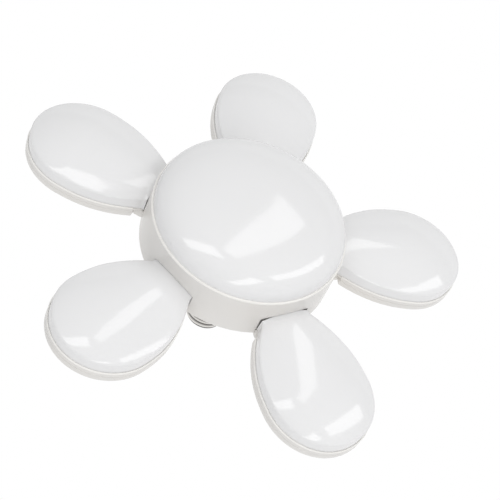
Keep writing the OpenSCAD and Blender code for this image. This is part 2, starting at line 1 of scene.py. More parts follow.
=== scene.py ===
"""Deformable garage light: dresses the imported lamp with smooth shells, fine trim and finishes.

The lamp hangs by its screw cap, which points up +Z. Its domes face down. Metres throughout; the sizes
that a user would change are millimetres and stand in the property groups below.
"""

import json
import math

import bmesh
import bpy
import numpy as np
from bpy.props import FloatProperty, FloatVectorProperty, PointerProperty
from mathutils import Matrix, Vector


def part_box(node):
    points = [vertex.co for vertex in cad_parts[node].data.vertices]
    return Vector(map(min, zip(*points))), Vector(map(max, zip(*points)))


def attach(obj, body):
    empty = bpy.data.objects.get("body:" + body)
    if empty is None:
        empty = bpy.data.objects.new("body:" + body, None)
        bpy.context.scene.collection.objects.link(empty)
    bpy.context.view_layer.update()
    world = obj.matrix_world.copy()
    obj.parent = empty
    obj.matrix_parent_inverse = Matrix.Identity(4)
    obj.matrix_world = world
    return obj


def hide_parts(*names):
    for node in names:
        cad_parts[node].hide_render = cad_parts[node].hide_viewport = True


bl_info = {
    "name": "Garage light dressing",
    "version": (1, 0, 0),
    "blender": (4, 5, 0),
    "location": "View3D > Sidebar > Garage light",
    "description": "Builds the shells, trim, finishes and studio of a garage light with folding petals",
    "category": "Object",
}

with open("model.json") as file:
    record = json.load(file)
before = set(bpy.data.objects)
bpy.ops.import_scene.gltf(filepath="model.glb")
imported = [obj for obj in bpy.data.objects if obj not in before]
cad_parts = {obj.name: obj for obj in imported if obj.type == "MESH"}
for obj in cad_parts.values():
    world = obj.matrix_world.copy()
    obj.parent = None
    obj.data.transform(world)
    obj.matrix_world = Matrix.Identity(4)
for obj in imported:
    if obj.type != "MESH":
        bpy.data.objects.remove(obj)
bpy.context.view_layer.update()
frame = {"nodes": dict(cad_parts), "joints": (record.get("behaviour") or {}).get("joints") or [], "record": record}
MM = 0.001
PETALS = range(1, 6)
STEP = math.radians(72)
REST_LIMIT = -5.0
SAME_POINT, NO_LENGTH = 2e-6, 1e-7
FLAT_ANGLE = math.radians(0.3)


def cad_size(node, axis):
    """Extent of a CAD node along an axis, in millimetres."""
    low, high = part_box(node)
    return (high[axis] - low[axis]) / MM


def rest_tilts():
    """Rest tilt of each petal: its fold starts 5 degrees below level, so the tilt is what is left."""
    lows = {j["child"]: j["range_deg"][0] for j in frame["joints"]}
    return [REST_LIMIT - lows["petal_%d" % i] for i in PETALS]


def size(name, default, text):
    return FloatProperty(name=name, description=text + ", in millimetres", default=default, min=0)


def power(name, default, text):
    return FloatProperty(name=name, description=text, default=default, min=0.1, max=9)


def colour(name, default, text):
    return FloatVectorProperty(name=name, description=text, default=default, size=3, min=0, max=1,
                               subtype="COLOR")


# ---------------------------------------------------------------- sizes and colours


class GARAGELIGHT_PG_hub(bpy.types.PropertyGroup):
    diameter: size("Diameter", cad_size("hub_housing", 0), "Diameter of the hub")
    rim: FloatProperty(name="Rim", description="Height of the hub's rim, in millimetres",
                       default=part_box("hub_housing")[0].z / MM)
    lip: size("Lip", 1.2, "Width of the lip round the dome")
    dome: size("Dome", 20, "How far the dome stands out of the rim")
    power: power("Squareness", 2.6, "Power of the dome's profile, 2 for an ellipse")
    wall: size("Wall", 2, "Wall of the domes")
    edge: size("Edge", 0.5, "Radius of the moulded edges")


class GARAGELIGHT_PG_petal(bpy.types.PropertyGroup):
    start: size("Start", 60.2, "From the axis to the straight end")
    run: size("Run", 53.3, "From the straight end to the widest section")
    tip: size("Tip", 37, "From the widest section to the tip")
    width: size("Width", 70, "Width")
    end_width: size("End width", 32, "Width of the straight end")
    power: power("Fullness", 2.25, "Power of the outline between the end and the widest section")
    side_end: size("Side at the end", 8.2, "Height of the dome's upright side at its end")
    side: size("Side", 7.6, "Height of the dome's upright side elsewhere")
    ridge_end: size("Ridge at the end", 10.3, "Height of the dome's ridge at its end")
    ridge: size("Ridge", 15.4, "Height of the dome's ridge")
    rise: power("Rise", 0.42, "How fast the ridge rises from the end, 1 for a parabola")
    crown: power("Crown", 1.2, "Fullness of the dome's cross section, 1 for a parabola and 2 for an ellipse")
    shoulder: size("Shoulder", 1.6, "Length over which the side bends into the crown")
    lip: size("Lip", 0.9, "Width of the housing's lip round the dome")
    lip_height: size("Lip height", 0.75, "Height of that lip over the seam")
    fill: size("Fill", 0.45, "How far the dome's end swells towards the edge of its pocket")
    arch: size("Arch", 12.5, "Least height of the ridge, which fills the pocket's arch at any tilt")
    seam: FloatProperty(name="Seam", description="Height of the seams, in millimetres", default=-56)
    tray: size("Tray", 8, "Height of the housing's tray")
    tray_start: size("Tray start", 66, "From the axis to the tray")
    tray_edge: size("Tray edge", 2, "Radius of the tray's back edge")
    line: size("Line", 3, "From the seam to the tray's parting line")
    rib: size("Rib", 0.8, "Height of the cooling ribs")
    tilts: FloatVectorProperty(name="Tilts", description="Rest tilt of each petal towards the cap, in degrees",
                               default=rest_tilts(), size=5)


class GARAGELIGHT_PG_hinge(bpy.types.PropertyGroup):
    reach: size("Reach", 62, "From the axis to the hinge pin")
    lift: size("Lift", 4.6, "From the seam to the hinge pin")
    barrel: size("Barrel", 6.8, "Diameter of the barrels")
    inner: size("Inner", 6.6, "From the middle to the petal's ears")
    outer: size("Outer", 13.2, "From the middle to the outside of the ears")
    cheek: size("Cheek", 16.6, "From the middle to the outside of the cheeks")
    pin: size("Pin", 4, "Diameter of the pin")
    tongue: size("Tongue", 1.05, "Thickness of the tongue under the hinge")


class GARAGELIGHT_PG_cap(bpy.types.PropertyGroup):
    diameter: size("Diameter", 26.2, "Diameter over the thread's crests")
    depth: size("Depth", 0.85, "Depth of the thread")
    pitch: size("Pitch", 3.62, "Pitch of the thread")
    shell: size("Shell", 19.2, "Height of the threaded shell")
    height: size("Height", 27, "From the shoulder to the tip of the contact")
    contact: size("Contact", 9.6, "Diameter of the centre contact")
    sheet: size("Sheet", 0.4, "Thickness of the drawn sheet")


class GARAGELIGHT_PG_colours(bpy.types.PropertyGroup):
    opal: colour("Opal", (0.83, 0.83, 0.835), "Opal plastic of the domes")
    housing: colour("Housing", (0.78, 0.765, 0.745), "Warm white plastic of the housings")
    # The lips' colour, lighter and creamier than the housing's plastic they belong to, is a painted highlight.
    lip: colour("Lip", (0.93, 0.915, 0.885), "Polished lips of the housings")
    nickel: colour("Nickel", (0.72, 0.7, 0.67), "Nickel plating of the screw cap")
    zinc: colour("Zinc", (0.62, 0.63, 0.65), "Zinc plating of screws, brackets and pins")
    mask: colour("Board", (0.86, 0.86, 0.84), "White solder mask of the LED boards")
    phosphor: colour("Phosphor", (0.9, 0.72, 0.2), "Phosphor of the LEDs")
    green: colour("Driver board", (0.03, 0.16, 0.06), "Green solder mask of the driver board")


GROUPS = (GARAGELIGHT_PG_hub, GARAGELIGHT_PG_petal, GARAGELIGHT_PG_hinge, GARAGELIGHT_PG_cap,
          GARAGELIGHT_PG_colours)


def settings(context, name):
    return getattr(context.scene, "garagelight_" + name)


# ---------------------------------------------------------------- surfaces


def skin(name, grid, around=False):
    """Mesh over a grid of points, rows by columns: each four neighbours make a face. With around, the
    last column meets the first."""
    rows, columns = grid.shape[:2]
    index = np.arange(rows * columns).reshape(rows, columns)
    if around:
        index = np.hstack([index, index[:, :1]])
    quads = np.stack([index[:-1, :-1], index[:-1, 1:], index[1:, 1:], index[1:, :-1]], -1).reshape(-1, 4)
    mesh = bpy.data.meshes.new(name)
    mesh.from_pydata(grid.reshape(-1, 3), [], quads)
    return mesh


def heal(mesh, flat=False):
    """Merges doubles, so poles and seams close. Then a flat mesh has its coplanar faces joined, and any
    other has every face turned outwards."""
    bm = bmesh.new()
    bm.from_mesh(mesh)
    bmesh.ops.remove_doubles(bm, verts=bm.verts, dist=SAME_POINT)
    bmesh.ops.dissolve_degenerate(bm, edges=bm.edges, dist=NO_LENGTH)
    if flat:
        bmesh.ops.dissolve_limit(bm, angle_limit=FLAT_ANGLE, verts=bm.verts, edges=bm.edges)
    else:
        bmesh.ops.recalc_face_normals(bm, faces=bm.faces)
        middle = sum((v.co for v in bm.verts), Vector()) / len(bm.verts)
        if sum((f.calc_center_median() - middle).dot(f.normal) * f.calc_area() for f in bm.faces) < 0:
            bmesh.ops.reverse_faces(bm, faces=bm.faces)
    bm.to_mesh(mesh)
    bm.free()


def piece(name, meshes, finish, body, nodes, matrix=None, angle=35, bevel=0.0):
    bm = bmesh.new()
    for mesh in meshes:
        bm.from_mesh(mesh)
    whole = bpy.data.meshes.new(name)
    bm.to_mesh(whole)
    bm.free()
    if matrix is not None:
        whole.transform(matrix)
    whole.materials.clear()
    whole.materials.append(finish)
    whole.polygons.foreach_set("material_index", np.zeros(len(whole.polygons), np.int32))
    whole.shade_smooth()
    whole.set_sharp_from_angle(angle=math.radians(angle))
    made = bpy.data.objects.new(name, whole)
    bpy.context.scene.collection.objects.link(made)
    if bevel:
        edge = made.modifiers.new("edges", "BEVEL")
        edge.width, edge.segments, edge.limit_method = bevel, 2, "ANGLE"
        edge.angle_limit = math.radians(angle)
        made.modifiers.new("flats", "WEIGHTED_NORMAL").keep_sharp = True
    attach(made, body)
    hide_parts(*nodes)
    return made


def cad_copy(node, finish, body, bevel):
    """Copy of a CAD node whose shape is right: merged, its flats joined and its edges rounded."""
    mesh = frame["nodes"][node].data.copy()
    heal(mesh, flat=True)
    return piece(node + "_shown", [mesh], finish, body, [node], bevel=bevel * MM)


def even(points, count):
    """Points at equal steps of arc length along a dense polyline."""
    steps = np.linalg.norm(np.diff(points, axis=0), axis=1)
    at = np.concatenate([[0], np.cumsum(steps)])
    wanted = np.linspace(0, at[-1], count)
    return np.stack([np.interp(wanted, at, points[:, c]) for c in range(points.shape[1])], -1)


def soften(points, length, count=97):
    """Evens out a polyline and rounds its corners: each point is the mean of those within a length."""
    fine = even(points, 8 * count)
    reach = max(1, int(length / np.linalg.norm(fine[1] - fine[0]) / 2))
    reach = min(reach, 4 * count - 1)
    padded = np.concatenate([2 * fine[:1] - fine[reach:0:-1], fine, 2 * fine[-1:] - fine[-2:-reach - 2:-1]])
    total = np.concatenate([0 * fine[:1], np.cumsum(padded, 0)])
    mean = (total[2 * reach + 1:] - total[:-2 * reach - 1]) / (2 * reach + 1)
    return even(mean, count)


def turned(profile, count=160):
    """Grid of a profile of (radius, height) turned about the Z axis."""
    a = np.linspace(0, 2 * np.pi, count, endpoint=False)
    r, z = profile[:, :1], profile[:, 1:]
    return np.stack([r * np.cos(a), r * np.sin(a), z + 0 * a], -1)


def corner(centre, radius, first, last, count=6):
    """Points of an arc in a profile, between two angles in degrees."""
    a = np.radians(np.linspace(first, last, count))
    return np.stack([centre[0] + radius * np.cos(a), centre[1] + radius * np.sin(a)], -1)


def ease(t):
    """Smooth step: 3 t squared less 2 t cubed, held between 0 and 1."""
    t = np.clip(t, 0, 1)
    return t * t * (3 - 2 * t)


# ---------------------------------------------------------------- the petal's shape


class Petal:
    """A petal's surfaces, in its own frame: x out from the axis, y across, z up from its seam. The lengths
    over which its end changes into the rest, and the small sizes of its trim, are millimetres too."""

    SWELL_FADES, SHOULDER_GROWS, SIDE_SETTLES = 2.6, 9, 24
    END_SHOULDER, END_EDGE, SIDE_WALL = 0.2, 0.5, 0.9
    SIDE_STEPS, CROWN_STEPS = 12, 60
    RIB_FIRST, RIB_LAST, RIB_PITCH, RIB_MARGIN, RIB_RADIUS = 14, 12, 6.5, 8, 0.9
    CHEEK_WALL, EAR_EDGE, EAR_STEPS = 0.85, 0.3, 48

    def __init__(self, p):
        self.p = p
        self.mid = p.start + p.run

    def half_width(self, u):
        """Half the widest width, less a share that grows with a power of the distance to it."""
        p = self.p
        share = np.clip((self.mid - u) / p.run, 0, None) ** p.power
        return p.end_width / 2 + (p.width - p.end_width) / 2 * (1 - share)

    def outline(self, start, inset, sides=40, tip=32):
        """Half the outline, end to tip: the side by half_width, then a quarter ellipse, shrunk by inset."""
        u = start + (self.mid - start) * np.linspace(0, 1, sides, endpoint=False)
        a = np.linspace(np.pi / 2, 0, tip + 1)
        side = np.stack([u, self.half_width(u) - inset], -1)
        end = np.stack([self.mid + (self.p.tip - inset) * np.cos(a),
                        (self.p.width / 2 - inset) * np.sin(a)], -1)
        return np.concatenate([side, end])

    def dome(self, start, wall):
        """Grid of the dome, shrunk by a wall: each row runs from one foot up the side, over the crown
        and down again. The side is upright. The crown's share of its height is 1 less the square of its
        share of the width, to the power 1 / crown, and is a little more pointed half way. The
        ridge rises by 1 less the square of the share that is left to the widest section, and ends
        there, so the crown fans round the tip. Near the end the dome swells to fill its pocket."""
        p = self.p
        points = self.outline(start, p.lip + wall)
        u = points[:, :1]
        fill, near = 1 - ease((u - p.start) / self.SWELL_FADES), 1 - ease((u - p.start) / self.SHOULDER_GROWS)
        w = points[:, 1:] + (p.lip + p.fill) * fill
        foot = np.minimum(u, self.mid)
        rise = (1 - ((self.mid - foot) / p.run) ** 2) ** p.rise
        ridge = np.maximum(p.ridge_end + (p.ridge - p.ridge_end) * rise, p.arch) - wall
        side = p.side_end + (p.side - p.side_end) * ease((u - p.start) / self.SIDE_SETTLES)
        side = side + p.fill * fill - wall * self.SIDE_WALL
        up = np.linspace(0, 1, self.SIDE_STEPS, endpoint=False)[None, :] * side
        a = np.linspace(0, np.pi / 2, self.CROWN_STEPS)[None, :]
        along = (foot - p.start) / p.run
        full = p.crown * (1 - along * (1 - along))
        x = np.concatenate([u + 0 * up, foot + (u - foot) * np.cos(a)], 1)
        y = np.concatenate([w + 0 * up, w * np.cos(a)], 1)
        z = np.concatenate([-up, -(side + (ridge - side) * np.sin(a) ** (2 / full))], 1)
        half = np.stack([x, y, z], -1)
        whole = np.concatenate([half, half[:, -2::-1] * np.array([1, -1, 1])], 1)
        bends = p.shoulder * (1 - (1 - self.END_SHOULDER) * near[:, 0])
        return np.stack([soften(row, bend) for row, bend in zip(whole, bends)])

    def dome_with_end(self, wall=0.0):
        """The dome's grid with its straight end: a rounded edge, then a flat face down to the foot."""
        p, r = self.p, self.END_EDGE
        body = self.dome(p.start + wall + r, wall)
        first = body[0]
        width, height = first[:, 1].max(), -first[:, 2].min()
        rows = []
        for b in np.radians([90, 70, 50, 30, 12]):
            d = r * (1 - math.cos(b))
            row = first * np.array([0, 1 - d / width, 1 - d / height])
            row[:, 0] = p.start + wall + r * (1 - math.sin(b))
            rows.append(row)
        flats = [rows[0] * np.array([1, 1, s]) for s in (0, 0.4, 0.8, 0.97)]
        return np.concatenate([np.stack(flats + rows), body]) * MM

    def shell(self, wall):
        """The dome's grid and, coming back, the same a wall further in. A first row joins their ends."""
        inside = self.dome_with_end(wall)
        ends = np.concatenate([inside[:1], inside[:1, ::-1]], 1)
        return np.concatenate([ends, np.concatenate([self.dome_with_end(), inside[:, ::-1]], 1)])

    def ring(self, start, inset, z):
        """The whole outline at one height, out along +y and back along -y."""
        half = self.outline(start, inset)
        whole = np.concatenate([half, half[-2::-1] * np.array([1, -1])])
        return np.column_stack([whole, np.full(len(whole), z)])

    def tray(self):
        """Grid of the housing's tray, from the middle of its hollow round its wall to its back. The
        wall has a tucked seam, a parting line, a slight draft and a rounded back edge."""
        p = self.p
        line = p.line
        wall = [(4, 0), (0.35, 0), (0.1, 0.1), (0, 0.35), (0, line - 0.45), (0.02, line - 0.3),
                (0.3, line - 0.12), (0.3, line + 0.12), (0.06, line + 0.3), (0.04, line + 0.45),
                (0.1, p.tray - p.tray_edge)]
        a = np.radians(np.linspace(0, 90, 8))[1:]
        back = [(0.1 + p.tray_edge * (1 - math.cos(b)), p.tray - p.tray_edge * (1 - math.sin(b))) for b in a]
        rows = [self.ring(p.tray_start + 2, 4, p.tray - 2)]
        rows += [self.ring(p.tray_start + min(i, 2), i, z) for i, z in wall + back]
        rows.append(self.ring(p.tray_start + 4, 4, p.tray))
        inside, outside = rows[0].copy(), rows[-1].copy()
        inside[:, 1] = outside[:, 1] = 0
        return np.stack([inside] + rows + [outside]) * MM

    def bead(self):
        """Bead between the dome and the tray, which takes the lips' lighter colour, a painted highlight: half an
        ellipse carried round the outline.
        """
        p = self.p
        wide = p.lip + 0.18
        loop = [(wide / 2 * (1 + math.cos(b)) - 0.03, 0.3 - (p.lip_height + 0.3) * math.sin(b))
                for b in np.linspace(0, np.pi, 10)]
        return np.stack([self.ring(p.tray_start + min(i, 2), i, z) for i, z in loop + loop[:1]]) * MM

    def ribs(self):
        """Cooling ribs across the tray's back: half rounds whose ends run down into it."""
        p = self.p
        meshes = []
        stations = np.arange(p.tray_start + self.RIB_FIRST, self.mid + p.tip - self.RIB_LAST, self.RIB_PITCH)
        for k, u in enumerate(stations):
            inside = min(1.0, max(0.0, (u - self.mid) / p.tip))
            half = float(self.half_width(u)) if u < self.mid else p.width / 2 * math.sqrt(1 - inside**2)
            half -= self.RIB_MARGIN
            s = np.linspace(-1, 1, 25)[:, None]
            a = np.radians(np.linspace(-30, 210, 11))[None, :]
            end = np.sqrt(np.clip(1 - np.abs(s) ** 12, 0, 1))
            grid = np.stack([u + self.RIB_RADIUS * end * np.cos(a), half * s + 0 * a,
                             p.tray + p.rib * end * np.sin(a)], -1)
            meshes.append(skin("rib_%d" % k, grid * MM, around=True))
        return meshes

    def ears(self, h):
        """The ears, the cheeks beyond them and the tongue. An ear is a barrel profile swept across y with
        the pin's bore in it, and a cheek the same as a thin plate without one."""
        p = self.p
        a = np.linspace(0, 2 * np.pi, self.EAR_STEPS, endpoint=False) + np.pi / self.EAR_STEPS
        r = h.barrel / 2
        square = r / np.maximum(np.abs(np.cos(a)), np.abs(np.sin(a)))
        reach = np.where(np.cos(a) > 0, (p.tray_start + 0.4 - h.reach) / r, 1.0)
        ox = np.where(np.cos(a) > 0, square * np.cos(a) * reach, r * np.cos(a))
        oz = np.where(np.cos(a) > 0, square * np.sin(a), r * np.sin(a))
        meshes = []
        cheek, edge, pin = h.cheek - self.CHEEK_WALL, self.EAR_EDGE, h.pin / 2
        plates = ((h.inner, h.outer, pin), (-h.outer, -h.inner, pin),
                  (cheek, h.cheek, 0), (-h.cheek, -cheek, 0))
        for low, high, bore in plates:
            rows = []
            for y, shrink in ((low, edge), (low + edge, 0), (high - edge, 0), (high, edge)):
                k = 1 - shrink / r
                rows.append(np.stack([h.reach + ox * k, y + 0 * a, h.lift + oz * k], -1))
            for y in (high, low):
                rows.append(np.stack([h.reach + bore * np.cos(a), y + 0 * a, h.lift + bore * np.sin(a)], -1))
            rows.append(rows[0])
            meshes.append(skin("ear", np.stack(rows) * MM, around=True))
        x = np.array([p.start, p.tray_start + 0.8])
        half = self.half_width(x)
        loop = np.array([[x[0], half[0]], [x[1], half[1]], [x[1], -half[1]], [x[0], -half[0]]])
        rows = []
        for z, k in ((0, 0), (0, 1), (h.tongue, 1), (h.tongue, 0)):
            flat = loop.copy()
            if not k:
                flat[:, 1] = 0
            rows.append(np.column_stack([flat, np.full(4, z)]))
        meshes.append(skin("tongue", np.stack(rows) * MM, around=True))
        return meshes

    def place(self, i, h):
        """Carries the petal's frame to petal i: tilted about its pin and turned round the axis."""
        pin = Matrix.Translation(Vector((h.reach, 0, h.lift)) * MM)
        tilt = Matrix.Rotation(math.radians(-self.p.tilts[i - 1]), 4, "Y")
        seam = Matrix.Translation(Vector((0, 0, self.p.seam)) * MM)
        return Matrix.Rotation(STEP * (i - 1), 4, "Z") @ seam @ pin @ tilt @ pin.inverted()


# ---------------------------------------------------------------- finishes


class Value:
    """One shader socket. Python's operators on it add Math nodes, so 1 - mask works."""

    def __init__(self, tree, socket):
        self.tree, self.socket = tree, socket

    def math(self, operation, *terms):
        node = self.tree.nodes.new("ShaderNodeMath")
        node.operation = operation
        for entry, term in zip(node.inputs, terms):
            plug(self.tree, entry, term)
        return Value(self.tree, node.outputs[0])

    def __add__(self, other):
        return self.math("ADD", self, other)

    def __sub__(self, other):
        return self.math("SUBTRACT", self, other)

    def __rsub__(self, other):
        return self.math("SUBTRACT", other, self)

    def __mul__(self, other):
        return self.math("MULTIPLY", self, other)

    def __truediv__(self, other):
        return self.math("DIVIDE", self, other)

    def __pow__(self, other):
        return self.math("POWER", self, other)

    def clamp(self, low=0.0, high=1.0):
        return self.math("MINIMUM", self.math("MAXIMUM", self, low), high)

    __radd__ = __add__


def plug(tree, entry, term):
    """Links a Value to an input, or sets the input to a number, vector or colour."""
    if isinstance(term, Value):
        tree.links.new(term.socket, entry)
    else:
        entry.default_value = term


class Finish:
    """A material or world being wired: its tree, and one method that adds any node."""

    def __init__(self, owner):
        owner.use_nodes = True
        self.owner, self.tree = owner, owner.node_tree
        self.tree.nodes.clear()

    def node(self, kind, options=None, output=0, **inputs):
        """Adds a node, sets its options first, then its inputs: by name with _ for a space, or by number
        after a letter. Gives the output of that number or name."""
        made = self.tree.nodes.new("ShaderNode" + kind)
        for key, option in (options or {}).items():
            setattr(made, key, option)
        for key, term in inputs.items():
            entry = made.inputs[int(key[1:])] if key[1:].isdigit() else made.inputs[key.replace("_", " ")]
            plug(self.tree, entry, term)
        return Value(self.tree, made.outputs[output]) if made.outputs else None

    def noise(self, scale, detail=2.0, rough=0.5, at=None):
        """Noise between 0 and 1 on Object coordinates, scale features a metre."""
        return self.node("TexNoise", Vector=at or self.place(), Scale=scale, Detail=detail, Roughness=rough)

    def place(self):
        return self.node("TexCoord", output="Object")

    def outputs(self, value, *names):
        """The named outputs of a Value's node."""
        return [Value(self.tree, value.socket.node.outputs[name]) for name in names]

    def mix(self, mask, first, second):
        """Colour between two colours by mask."""
        return self.node("Mix", {"data_type": "RGBA"}, 2, i0=mask, i6=(*first, 1), i7=(*second, 1))

    def bump(self, height, distance):
        return self.node("Bump", Height=height, Distance=distance, Strength=1.0)


def plastic(name, base, warm, rough, grain, relief, coat):
    """Moulded plastic: faint clouds of a second tone, a fine moulded grain and a varying gloss."""
    f = Finish(bpy.data.materials.new(name))
    cloud = f.noise(14, 3)
    fine = f.noise(grain, 2)
    flow = f.noise(90, 2)
    tone = f.mix(((cloud - 0.35) * 2.2).clamp(), base, warm)
    skin_rough = (rough + (flow - 0.5) * 0.06 + (fine - 0.5) * 0.04).clamp(0.03, 0.9)
    shader = f.node("BsdfPrincipled", Base_Color=tone, Roughness=skin_rough, IOR=1.49,
                    Normal=f.bump(fine * 0.6 + flow * 2.4, relief), Coat_Weight=coat, Coat_Roughness=0.04)
    f.node("OutputMaterial", Surface=shader)
    return f.owner


def metal(name, base, dull_and_shade, rough, scale, relief, crest=None):
    """Plated metal: fine drawing marks, matt spots and, given two radii, a colour that darkens from the thread's
    crests to its roots, painted shade with some tarnish.
    """
    f = Finish(bpy.data.materials.new(name))
    at = f.place()
    spots = f.noise(260, 4, 0.65, at)
    marks = f.noise(scale, 3, 0.6, f.node("Mapping", Vector=at, Scale=(0.15, 0.15, 2.0)))
    wear_and_shade = ((spots - 0.55) * 5).clamp()
    if crest:
        x, y = f.outputs(f.node("SeparateXYZ", Vector=at), "X", "Y")
        radius = (x * x + y * y) ** 0.5
        # Painted shade, partly tarnish: below the crest radius the colour goes to the dark tone, fully so in the
        # thread's roots.
        out_of_root_shade = ((radius - crest[0]) / (crest[1] - crest[0])).clamp()
        wear_and_shade = (wear_and_shade * 0.2 + (1 - out_of_root_shade) * 0.9).clamp()
    tone = f.mix(wear_and_shade, base, dull_and_shade)
    shader = f.node("BsdfPrincipled", Base_Color=tone, Metallic=1.0,
                    Roughness=(rough + wear_and_shade * 0.16 + (marks - 0.5) * 0.1).clamp(0.04, 0.9),
                    Normal=f.bump(marks + spots * 0.5, relief))
    f.node("OutputMaterial", Surface=shader)
    return f.owner


def glaze(name, base, second, rough, scale, relief=2e-5, contrast=2.0, metallic=0.0):
    """Even coat with soft mottling: solder mask, sleeve, glass, lacquer or sheath."""
    f = Finish(bpy.data.materials.new(name))
    broad, fine = f.noise(scale, 3), f.noise(scale * 9, 2)
    tone = f.mix(((broad - 0.4) * contrast).clamp(), base, second)
    shader = f.node("BsdfPrincipled", Base_Color=tone, Metallic=metallic,
                    Roughness=(rough + (fine - 0.5) * 0.15).clamp(0.03, 0.95), Normal=f.bump(fine, relief))
    f.node("OutputMaterial", Surface=shader)
    return f.owner


def shade(tone, share):
    """A colour times a share."""
    return tuple(v * share for v in tone)


def finishes(context):
    """Every finish by its name, made once."""
    if "opal_diffuser" in bpy.data.materials and bpy.data.materials["opal_diffuser"].get("wired"):
        return {s: bpy.data.materials[s] for s in FINISHES}
    c = settings(context, "colours")
    for old in list(bpy.data.materials):
        old.name = "packed_" + old.name
    opal, housing, zinc = tuple(c.opal), tuple(c.housing), tuple(c.zinc)
    warm = (housing[0], housing[1] * 0.985, housing[2] * 0.96)
    plastic("opal_diffuser", opal, shade(opal, 0.985), 0.1, 1500, 5e-6, 0.25)
    plastic("white_housing", housing, warm, 0.24, 2600, 1.2e-5, 0.0)
    # The lips: the housing's plastic made lighter and creamier as a painted highlight, and a little glossier.
    plastic("painted_highlight_lip", tuple(c.lip), shade(c.lip, 0.99), 0.2, 2600, 6e-6, 0.0)
    # The nickel's second colour, 0.12 of the plating, gives the dull spots and the painted shade in the thread's
    # roots, partly tarnish.
    metal("nickel_shell", tuple(c.nickel), shade(c.nickel, 0.12), 0.12, 900, 1.2e-5, crest=(0.0123, 0.01295))
    metal("steel", zinc, shade(zinc, 0.78), 0.3, 1500, 1e-5)
    metal("tinned_contact", (0.66, 0.65, 0.62), (0.4, 0.39, 0.37), 0.34, 500, 4e-5)
    glaze("board_white", tuple(c.mask), shade(c.mask, 0.94), 0.4, 60)
    glaze("led", tuple(c.phosphor), (0.95, 0.85, 0.5), 0.35, 700)
    glaze("board_green", tuple(c.green), shade(c.green, 1.6), 0.3, 120)
    glaze("black_sleeve", (0.02, 0.02, 0.028), (0.035, 0.035, 0.05), 0.25, 80)
    glaze("winding", (0.55, 0.22, 0.07), (0.7, 0.33, 0.12), 0.3, 1200, 1e-4, 3.0, 0.85)
    glaze("black_chip", (0.015, 0.015, 0.016), (0.03, 0.03, 0.032), 0.55, 400)
    glaze("resistor_body", (0.1, 0.32, 0.17), (0.14, 0.4, 0.22), 0.35, 300)
    glaze("lead_sheath", (0.72, 0.72, 0.69), (0.66, 0.65, 0.61), 0.5, 200)
    glaze("supply_sheath", (0.45, 0.012, 0.01), (0.55, 0.03, 0.02), 0.45, 200)
    glaze("black_glass", (0.008, 0.008, 0.01), (0.02, 0.018, 0.02), 0.1, 90, 3e-5)
    bpy.data.materials["opal_diffuser"]["wired"] = True
    return {s: bpy.data.materials[s] for s in FINISHES}


FINISHES = ("opal_diffuser", "white_housing", "painted_highlight_lip", "nickel_shell", "steel", "tinned_contact",
            "board_white", "led", "board_green", "black_sleeve", "winding", "black_chip", "resistor_body",
            "lead_sheath", "supply_sheath", "black_glass")


# ---------------------------------------------------------------- operators


